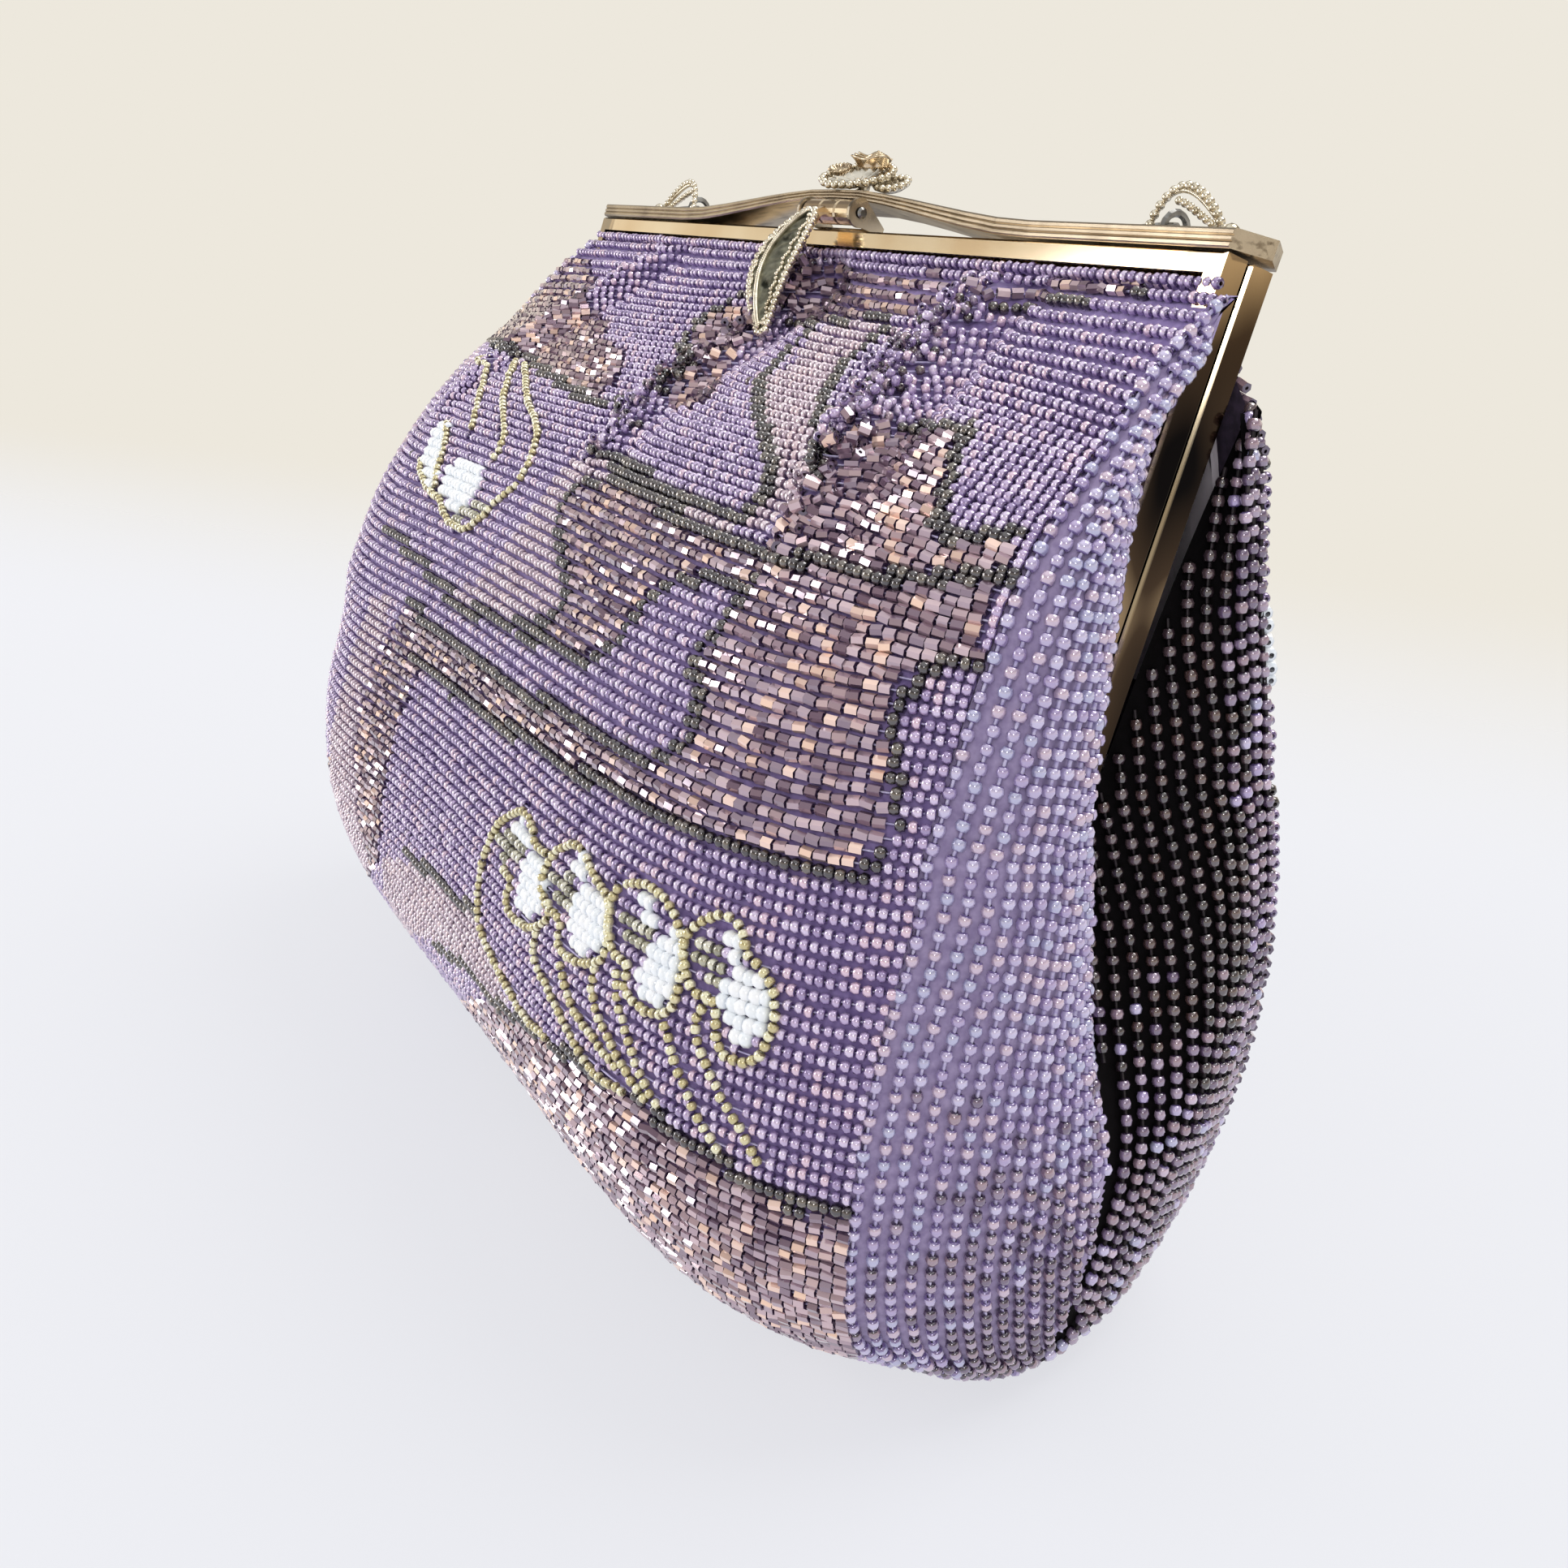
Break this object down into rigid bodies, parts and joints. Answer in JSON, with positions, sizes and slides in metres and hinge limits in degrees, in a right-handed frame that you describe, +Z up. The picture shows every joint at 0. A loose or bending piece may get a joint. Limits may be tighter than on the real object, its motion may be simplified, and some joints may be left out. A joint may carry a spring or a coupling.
{
  "type": "beaded clutch bag",
  "caption": "Soft evening clutch of beaded cloth on a hinged U-shaped metal frame with a bow-shaped cover bar, a leaf lever clasp, a flower ornament and a swinging link chain.",
  "frame": {"origin": "middle of the base's outline, on the surface the bag stands on", "axes": "X along the rail from the left to the right end, Y from the front with the clasp leaf to the back with the chain, Z up"},
  "size_m": [0.2034, 0.0998, 0.1491],
  "materials": {
    "champagne_metal": "polished pale gilt plating, worn grey on the bar",
    "bright_metal": "cast and plated, pale silver-gold",
    "steel_ring": "bright drawn wire, slightly dull",
    "purple_beadwork": "cloth covered in glass seed beads, purple with bands of other colours",
    "lining_satin": "plain woven satin"
  },
  "bodies": {
    "bag": {"rear_frame": "champagne_metal", "hinge_rivet_left": "champagne_metal", "hinge_rivet_right": "champagne_metal", "bow_bar": "champagne_metal", "bow_bar_rivet_left": "champagne_metal", "bow_bar_rivet_right": "champagne_metal", "flower_post": "bright_metal", "flower_leaf_large": "bright_metal", "flower_leaf_small": "bright_metal", "flower_petals": "bright_metal", "flower_bud": "bright_metal", "flower_bud_small": "bright_metal", "chain_loop_left": "bright_metal", "chain_loop_right": "bright_metal", "loop_ring_left": "steel_ring", "loop_ring_right": "steel_ring", "front_panel_lower": "purple_beadwork", "back_panel": "purple_beadwork", "gusset_left_lower": "purple_beadwork", "gusset_left_rear": "purple_beadwork", "gusset_right_lower": "purple_beadwork", "gusset_right_rear": "purple_beadwork", "lining_body": "lining_satin", "lining_back_jaw": "lining_satin", "inner_pocket": "lining_satin"},
    "front_jaw": {"front_frame": "champagne_metal", "clasp_bracket": "champagne_metal", "clasp_pin": "steel_ring", "front_panel_upper": "purple_beadwork", "gusset_left_front": "purple_beadwork", "gusset_right_front": "purple_beadwork", "lining_front_jaw": "lining_satin"},
    "clasp": {"clasp_lever": "champagne_metal", "clasp_leaf": "bright_metal"},
    "chain": {"chain_ring_left": "steel_ring", "chain_ring_right": "steel_ring", "link_chain": "steel_ring"}
  },
  "joints": [
    {"name": "frame_hinge", "type": "hinge", "parent": "bag", "child": "front_jaw", "pos_m": [0, 0, 0.0747], "axis": [1, 0, 0], "range_deg": [0, 55], "deforming": ["front_panel_upper", "gusset_left_front", "gusset_right_front", "lining_front_jaw"]},
    {"name": "clasp_hinge", "type": "hinge", "parent": "front_jaw", "child": "clasp", "pos_m": [0.0038, 0.01715, 0.13677], "axis": [-1, 0, 0], "range_deg": [0, 40]},
    {"name": "chain_swing", "type": "hinge", "parent": "bag", "child": "chain", "pos_m": [0, 0.0278, 0.1362], "axis": [1, 0, 0], "range_deg": [0, 100]}
  ]
}
